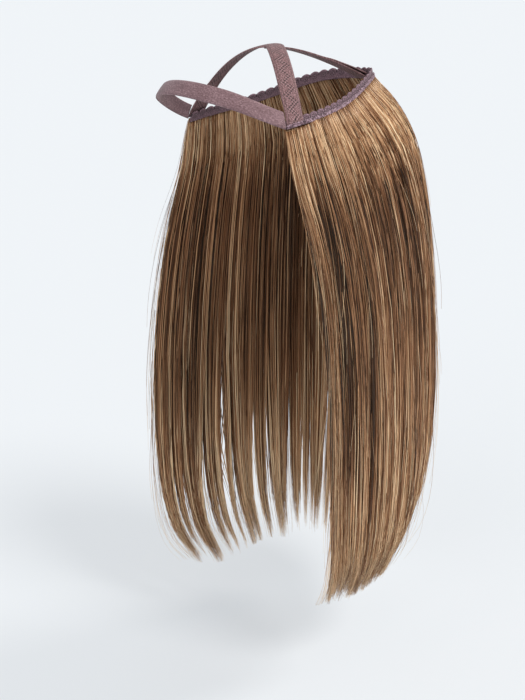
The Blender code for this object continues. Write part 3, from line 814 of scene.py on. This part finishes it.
def hair_strands(rng, tables, first, last, count, gather, ragged):
    """Paths, outward directions, half widths and tones of the strands of one piece.

    Each strand starts at the track, follows the fall and drifts towards the middles of its clumps
    as it nears the hem, where its length, its wave and its lift off the fall also spread.
    """
    steps = np.array(STRAND_STEPS)[None] + np.zeros((count, 1))
    room = np.diff(np.array(STRAND_STEPS))
    jitter = rng.uniform(-STEP_JITTER, STEP_JITTER, (count, 1))
    steps[:, 1:-1] += jitter * np.minimum(room[:-1], room[1:])[None]
    root = first + (last - first) * ((np.arange(count) + rng.random(count)) / count)
    layer = strand_layers(rng, count)[:, None]
    short = np.where(rng.random(count) < SHORT_STRANDS, SHORT_BY * rng.random(count), 0.0)
    length = (FULL_LENGTH - LENGTH_SPREAD * rng.random(count) - short)[:, None]
    tone = MIDDLE_TONE + rng.normal(0.0, TONE_SPREAD, count)

    found = strand_clumps(tables, root)
    small, medium, large = (number for _, number in found)
    length = length + ragged * large[:, 2:3] + MEDIUM_RAGGED * ragged * medium[:, 2:3]
    length = np.clip(length + SMALL_RAGGED * small[:, 2:3], *LENGTH_LIMITS)
    depth = steps * length
    way = root[:, None] + 0 * depth
    for (middle, number), (_, pull, sets_in, spread) in zip(found, CLUMP_LEVELS):
        tone = tone + spread * number[:, 1]
        way = way + (middle - way) * (pull or gather) * smooth_step(sets_in, 1.0, depth)

    leaves = rng.random(count) < STRAY_STRANDS
    stray = np.where(leaves, rng.normal(0.0, STRAY_WAY, count), rng.normal(0.0, CALM_WAY, count))[:, None]
    swing = rng.normal(0.0, WAVE_WAY, count)[:, None]
    waves = rng.uniform(*WAVE_COUNTS, count)[:, None]
    phase = rng.uniform(0.0, PHASE_SPAN, count)[:, None]
    wave = swing * np.sin(waves * depth * math.pi + phase)
    way = way + (wave + stray * depth) * smooth_step(0.0, CALM_ROOT_DEPTH, depth)
    way = np.clip(part_away(way, depth), EDGE_MARGIN, 1 - EDGE_MARGIN)

    point, outward = on_fall(way, depth)
    ruffles = ruffle(small, SMALL_RUFFLE, SMALL_RUFFLE_WAVES, depth)
    ruffles = ruffles + ruffle(medium, MEDIUM_RUFFLE, MEDIUM_RUFFLE_WAVES, depth)
    ridge = LARGE_RIDGE * large[:, 3:] + ruffles
    bulk = smooth_rows(depth, BULK_ROWS, 1, level_first=True, level_last=True)
    lift = ridge * smooth_step(*RIDGE_DEPTHS, depth) - bulk * layer + np.abs(stray) * STRAY_LIFT * depth
    paths = point + outward * lift[..., None]
    sewn = 1 - smooth_step(0.0, SEWN_DEPTH, depth)
    paths[..., 2] += ROOT_RISE * sewn * rng.uniform(*ROOT_RISE_SHARES, (count, 1))

    width = rng.uniform(*HALF_WIDTHS, count)[:, None]
    taper = 1 - TIP_TAPER * smooth_step(TIP_FROM, 1.0, steps)
    half_widths = width * taper * (ROOT_WIDTH + (1 - ROOT_WIDTH) * smooth_step(0.0, ROOT_DEPTH, depth))

    chance = rng.random(count)
    tone = tone - INSIDE_SHADE * smooth_hill(INSIDE_LAYERS, layer[:, 0])
    # Painted rim light: strands towards the right of the fall are made paler.
    tone = tone + RIGHT_PAINTED_LIGHT * smooth_step(*RIGHT_PAINTED_LIGHT_WAYS, root)
    tone = tone + np.where(chance < STREAK_CHANCE, -STREAK_TONE, 0.0)
    tone = tone + np.where(chance > 1 - STREAK_CHANCE, STREAK_TONE, 0.0)
    tone = tone[:, None] - FRONT_SHADE * front_shade(root[:, None], depth)
    return paths, outward, half_widths, np.clip(tone, *TONE_LIMITS)


def flyaway_strands(rng, count):
    """Fine stray hairs that leave the fall outwards and along it, in slow random curves.

    Many start at the two front edges and reach out past them, the others start anywhere.
    """
    steps = np.linspace(0.0, 1.0, FLYAWAY_STEPS)[None]
    pick = rng.random(count)
    near_left = FLYAWAY_EDGE * rng.random(count) ** 2
    way = np.where(pick < FLYAWAYS_LEFT_UNTIL, near_left, rng.random(count))
    near_right = 1 - FLYAWAY_EDGE * rng.random(count) ** 2
    way = np.where(pick > FLYAWAYS_RIGHT_FROM, near_right, way)[:, None]
    rooted = rng.random(count) < FLYAWAYS_ROOTED
    start = np.where(rooted, 0.0, rng.uniform(0.0, FLYAWAY_LAST_START, count))[:, None]
    end = np.minimum(start + rng.uniform(*FLYAWAY_SPANS, count)[:, None], 1.0)
    depth = start + (end - start) * steps
    parted = np.clip(part_away(way + 0 * depth, depth), FLYAWAY_MARGIN, 1 - FLYAWAY_MARGIN)
    point, outward = on_fall(parted, depth)
    along = np.stack([outward[..., 1], -outward[..., 0], np.zeros_like(depth)], axis=-1)
    free = smooth_step(FLYAWAY_FREE_FROM, 1.0, steps)
    edge = np.where(way < FLYAWAY_EDGE, -1.0, np.where(way > 1 - FLYAWAY_EDGE, 1.0, 0.0))
    sidestep = rng.normal(0.0, FLYAWAY_SIDEWAYS, count)[:, None]
    past_edge = FLYAWAY_EDGE_REACH * rng.random(count)[:, None] ** FLYAWAY_EDGE_POWER
    reach = sidestep * (edge == 0) - past_edge * edge
    bends = rng.uniform(*FLYAWAY_BENDS, count)[:, None]
    phase = rng.uniform(0.0, PHASE_SPAN, count)[:, None]
    bend = np.sin(bends * math.pi * steps + phase)
    sideways = reach * free + FLYAWAY_BEND * bend * free
    loose = np.where(way < FLYAWAY_CALM_FROM, 1.0, FLYAWAY_CALM)
    rise = np.abs(rng.normal(0.0, FLYAWAY_RISE, count))[:, None]
    off = FLYAWAY_CLEARANCE + loose * rise * np.sin(math.pi * steps * FLYAWAY_ARCH) * free
    paths = point + outward * off[..., None] + along * sideways[..., None]
    half_widths = rng.uniform(*FLYAWAY_HALF_WIDTHS, count)[:, None] * (1 - FLYAWAY_TAPER * steps)
    tone = rng.normal(FLYAWAY_TONE, FLYAWAY_TONE_SPREAD, count)
    tone = np.clip(tone, *FLYAWAY_TONE_LIMITS)[:, None] + 0 * steps
    return paths, outward, half_widths, tone


def make_hair(finish):
    """Strand pieces that stand for the four curtains, and the stray hairs round them."""
    tables = clump_tables()
    rng = np.random.default_rng(RANDOM_SEED + 1)
    for name, first, last, count, gather, ragged, nodes in HAIR_PIECES:
        paths, outward, half_widths, tone = hair_strands(rng, tables, first, last, count, gather, ragged)
        turn = rng.uniform(0.0, 2 * math.pi, count)
        piece = carry_round(name, paths, outward, half_widths, STRAND_SIDES, turn, tone)
        finish_piece(piece, finish, nodes)
    paths, outward, half_widths, tone = flyaway_strands(rng, FLYAWAYS)
    turn = rng.uniform(0.0, 2 * math.pi, FLYAWAYS)
    piece = carry_round("hair_flyaways", paths, outward, half_widths, STRAND_SIDES, turn, tone)
    finish_piece(piece, finish)


def finish_piece(piece, material, nodes=()):
    """Gives a piece its material and lets it ride on the part's one body."""
    piece.data.materials.append(material)
    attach(piece, "root")
    if nodes:
        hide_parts(*nodes)


def band_walls(middle, up, out, width, shares):
    """Inner and outer grids of a strap: middle + up * share * width + out * height.

    The inner face is crowned by the square of the share, and the wall thins towards its rims.
    """
    inner_height = STRAP_CROWN * (1 - (2 * shares) ** 2)
    thickness = STRAP_THICKNESS * (1 - STRAP_RIM * np.abs(2 * shares) ** STRAP_RIM_POWER)
    across = up[None] * (shares * width)[:, None, None]
    lower = middle[None] + across + out[None] * inner_height[:, None, None]
    upper = lower + out[None] * thickness[:, None, None]
    return lower, upper


def make_front_band(finish):
    """Smooth elastic round the forehead, from temple to temple."""
    shares = np.linspace(-0.5, 0.5, STRAP_STEPS_ACROSS)
    angles, length = even_angles(-JOINT_ANGLE, JOINT_ANGLE, FRONT_BAND_STEPS)
    middle, up, out = ring_frame(angles, FRONT_BAND_ROWS, FRONT_BAND_TEMPLE_DROP)
    lower, upper = band_walls(middle, up, out, FRONT_BAND_WIDTH, shares)
    along = np.linspace(0.0, length, len(angles))
    uv = np.stack(np.meshgrid(along, shares * FRONT_BAND_WIDTH), axis=-1)
    piece = sheet_between("front_band_elastic", lower, upper, uv)
    finish_piece(piece, finish, ["front_band"])


def crown_path(count):
    """Middle line, outward direction and lift of the crown strap, from the right to the left.

    x runs evenly from the crossing to the foot, y follows its rounded share to a power and z its
    square, rolled with the piece; the last stretch runs down the lace band to its track.
    """
    half = []
    half = []
    for side in (-1.0, 1.0):
        angle = np.array([side * CROWN_STRAP_ANGLE])
        middle, up, out = (value[0] for value in ring_frame(angle, LACE_ROWS, LACE_TEMPLE_DROP))
        foot = middle + up * LACE_HEIGHT / 2
        q = np.linspace(0.0, 1.0, count)
        whole = math.sqrt(1 + CROWN_ROUNDING**2) - CROWN_ROUNDING
        rounded = (np.sqrt(q**2 + CROWN_ROUNDING**2) - CROWN_ROUNDING) / whole
        x = foot[0] * q
        y = foot[1] * rounded**CROWN_REACH_POWER
        unrolled = foot[2] - WORN_ROLL * foot[0]
        over = np.stack([x, y, unrolled * rounded**CROWN_DROP_POWER + WORN_ROLL * x], axis=-1)
        run = np.linspace(0.0, 1.0, CROWN_TAB_STEPS)[1:, None]
        tab = foot - up * LACE_HEIGHT * CROWN_STRAP_END_SHARE * run
        path = np.concatenate([over, tab])
        settle = np.concatenate([smooth_step(CROWN_SETTLES_FROM, 1.0, q), np.ones(len(tab))])[:, None]
        form = unit((path - np.array(CROWN_CENTRE)) / np.array(CROWN_RADII) ** 2)
        normal = unit(form * (1 - settle) + out * settle)
        half.append((path, normal, STRAP_THICKNESS + LAYER_GAP + settle * STRAP_CROWN))
    right, left = half
    return [np.concatenate([part[::-1], other[1:]]) for part, other in zip(right, left)]


def make_crown_strap(finish):
    """Net elastic over the crown from temple to temple."""
    path, normal, lift = crown_path(CROWN_STEPS)
    tangent = unit(np.gradient(path, axis=0))
    normal = unit(normal - tangent * np.sum(normal * tangent, axis=1, keepdims=True))
    across = np.cross(normal, tangent)
    shares = np.linspace(-0.5, 0.5, STRAP_STEPS_ACROSS)
    lower, upper = band_walls(path + normal * lift, across, normal, STRAP_WIDTH, shares)
    along = np.concatenate([[0.0], np.cumsum(np.linalg.norm(np.diff(path, axis=0), axis=1))])
    uv = np.stack(np.meshgrid(along, shares * STRAP_WIDTH), axis=-1)
    piece = sheet_between("crown_strap_net", lower, upper, uv)
    finish_piece(piece, finish, ["crown_strap"])


def make_lace_band(finish):
    """Lace band whose top edge follows |sin| scallops."""
    start = JOINT_ANGLE + LAYER_GAP / RING_HALF_WIDTH
    whole = even_angles(JOINT_ANGLE, 2 * math.pi - JOINT_ANGLE, 2)[1]
    scallops = round(whole / SCALLOP_PITCH)
    angles, _ = even_angles(start, 2 * math.pi - start, scallops * SCALLOP_STEPS + 1)
    middle, up, out = ring_frame(angles, LACE_ROWS, LACE_TEMPLE_DROP)
    phase = np.linspace(0.0, scallops, len(angles))
    scallop = SCALLOP_HEIGHT * np.abs(np.sin(math.pi * phase)) ** SCALLOP_ROUNDING
    shares = np.linspace(0.0, 1.0, LACE_STEPS_ACROSS)
    raised = scallop[None] * smooth_step(SCALLOP_FROM, 1.0, shares)[:, None]
    height = (shares[:, None] - 0.5) * LACE_HEIGHT + raised
    lower = middle[None] + up[None] * height[..., None]
    upper = lower + out[None] * LACE_THICKNESS * LACE_FILL
    along = phase * SCALLOP_PITCH
    uv = np.stack([np.broadcast_to(along[None], height.shape), height + LACE_HEIGHT / 2], axis=-1)
    piece = sheet_between("lace_band_openwork", lower, upper, uv)
    finish_piece(piece, finish, ["lace_band"])


def make_lace_track(finish):
    """Braid of three yarns along the track: across = A sin(t + k), out = B sin(2t + 2k).

    Where it crosses the ends of the crown strap the braid rises over them.
    """
    start = JOINT_ANGLE + LAYER_GAP / RING_HALF_WIDTH
    angles, _ = even_angles(start, 2 * math.pi - start, TRACK_CROSSINGS * TRACK_STEPS + 1)
    middle, up, out = ring_frame(angles, LACE_ROWS, LACE_TEMPLE_DROP)
    turn = np.linspace(0.0, TRACK_CROSSINGS * 2 * math.pi, len(angles))
    strap_reach = 0.5 * STRAP_WIDTH / RING_HALF_WIDTH
    aside = np.abs(np.arccos(np.cos(angles)) - CROWN_STRAP_ANGLE)
    over = 1 - smooth_step(strap_reach * 0.9, strap_reach * 1.8, aside)
    rise = over * (STRAP_THICKNESS + LAYER_GAP + STRAP_CROWN)
    paths = []
    for yarn in range(3):
        phase = turn + yarn * 2 * math.pi / 3
        across = TRACK_HEIGHT + TRACK_SWING * np.sin(phase)
        proud = LACE_THICKNESS * LACE_FILL + TRACK_PROUD + TRACK_WEAVE * np.sin(2 * phase) + rise
        paths.append(middle + up * across[:, None] + out * proud[:, None])
    paths = np.array(paths)
    widths = np.full(paths.shape[:2], YARN_HALF_WIDTH)
    piece = carry_round("lace_track_braid", paths, up[None], widths, YARN_SIDES, np.zeros(3), 0 * widths)
    finish_piece(piece, finish)


def make_back_strap(finish):
    """Strap from the crossing to the lace that forks in two layers, carried across its width.

    Each layer is half as thick as the strap up to the fork, and a whole strap past it.
    """
    middle, _, out = (value[0] for value in ring_frame(np.array([math.pi]), LACE_ROWS, LACE_TEMPLE_DROP))
    quarter = even_angles(math.pi / 2, math.pi, PLAN_SAMPLES)[0]
    x, y = ring_plan(quarter)
    sag = RING_BACK_REACH - float(np.interp(STRAP_WIDTH / 2, x[::-1], y[::-1]))
    inner = middle - out * (LAYER_GAP + sag)
    x = np.linspace(-0.5, 0.5, BACK_STRAP_STEPS_ACROSS) * STRAP_WIDTH
    share = np.linspace(BACK_STRAP_START, 1.0, BACK_STRAP_STEPS)
    y = share * inner[1]
    drop = BACK_STRAP_DROP * np.maximum(share, 0.0) ** BACK_STRAP_DROP_POWER
    forked = smooth_step(*BACK_STRAP_FORK, share)
    opened = smooth_step(BACK_STRAP_OPENS_FROM, 1.0, share) * BACK_STRAP_OPENING
    thick = STRAP_THICKNESS * (0.5 + 0.5 * forked)
    grid_x, grid_y = np.broadcast_arrays(x[:, None], y[None])
    for layer, name in enumerate(["back_strap_lower", "back_strap_upper"]):
        base = layer * (STRAP_THICKNESS * 0.5 * forked + STRAP_THICKNESS * 0.5)
        z = -drop + base + layer * opened
        lower = np.stack([grid_x, grid_y, z[None] + WORN_ROLL * grid_x], axis=-1)
        upper = lower + np.array([0.0, 0.0, 1.0]) * thick[None, :, None] * BACK_STRAP_FILL
        uv = np.stack(np.meshgrid(y, x), axis=-1)
        piece = sheet_between(name, lower, upper, uv)
        finish_piece(piece, finish, ["back_strap"] if layer == 0 else ())


def make_camera():
    """Camera that looks from azimuth 56 and elevation 23 degrees, as the photo does."""
    azimuth, elevation, roll = CAMERA_AZIMUTH, CAMERA_ELEVATION, CAMERA_ROLL
    level = math.cos(elevation)
    back = np.array([math.sin(azimuth) * level, -math.cos(azimuth) * level, math.sin(elevation)])
    right = np.array([math.cos(azimuth), math.sin(azimuth), 0.0])
    up = np.cross(back, right)
    columns = [
        math.cos(roll) * right + math.sin(roll) * up,
        -math.sin(roll) * right + math.cos(roll) * up,
        back,
    ]
    matrix = Matrix.Identity(4)
    for column, vector in enumerate([*columns, np.array(CAMERA_PLACE)]):
        for row in range(3):
            matrix[row][column] = float(vector[row])
    data = bpy.data.cameras.new("camera")
    data.sensor_width = 36.0
    data.lens = CAMERA_LENS
    camera = bpy.data.objects.new("camera", data)
    camera.matrix_world = matrix
    bpy.context.scene.collection.objects.link(camera)
    bpy.context.scene.camera = camera


def make_studio():
    """Pale floor, even pale surroundings and three soft lamps."""
    scene = bpy.context.scene
    scene.view_settings.view_transform = "Standard"
    world = bpy.data.worlds.new("studio")
    world.use_nodes = True
    world.node_tree.nodes["Background"].inputs["Color"].default_value = (0.93, 0.965, 1.0, 1.0)
    world.node_tree.nodes["Background"].inputs["Strength"].default_value = 0.50
    scene.world = world

    mesh = bpy.data.meshes.new("floor")
    size = FLOOR_HALF_SIZE
    corners = [(-size, -size, FLOOR_HEIGHT), (size, -size, FLOOR_HEIGHT), (size, size, FLOOR_HEIGHT)]
    corners.append((-size, size, FLOOR_HEIGHT))
    mesh.from_pydata(corners, [], [(0, 1, 2, 3)])
    floor = bpy.data.objects.new("floor", mesh)
    scene.collection.objects.link(floor)
    material, _, shader, _ = new_material("pale_floor", 0.9)
    shader.inputs["Base Color"].default_value = (0.42, 0.43, 0.44, 1.0)
    shader.inputs["Emission Color"].default_value = (0.90, 0.95, 1.0, 1.0)
    shader.inputs["Emission Strength"].default_value = 0.41
    shader.inputs["Specular IOR Level"].default_value = 0.1
    mesh.materials.append(material)

    lamps = [
        # name, azimuth, elevation, strength, spread in degrees, colour
        ("key_lamp", 105.0, 52.0, 1.45, 20.0, (1.0, 0.985, 0.96)),
        ("front_lamp", 20.0, 40.0, 0.60, 40.0, (1.0, 0.985, 0.97)),
        ("back_lamp", 165.0, 38.0, 1.25, 20.0, (1.0, 0.975, 0.94)),
    ]
    for name, azimuth, elevation, strength, spread, colour in lamps:
        data = bpy.data.lights.new(name, "SUN")
        data.energy = strength
        data.angle = math.radians(spread)
        data.color = colour
        lamp = bpy.data.objects.new(name, data)
        turn = Matrix.Rotation(math.radians(azimuth), 4, "Z")
        tilt = Matrix.Rotation(math.radians(90.0 - elevation), 4, "X")
        lamp.matrix_world = turn @ tilt
        scene.collection.objects.link(lamp)


make_camera()
make_studio()
make_hair(hair_finish())
make_front_band(elastic_finish())
net = net_finish()
make_crown_strap(net)
make_back_strap(net)
make_lace_band(lace_finish())
make_lace_track(yarn_finish("track_yarn", linear(60, 38, 47), linear(132, 102, 113), linear(206, 178, 190)))
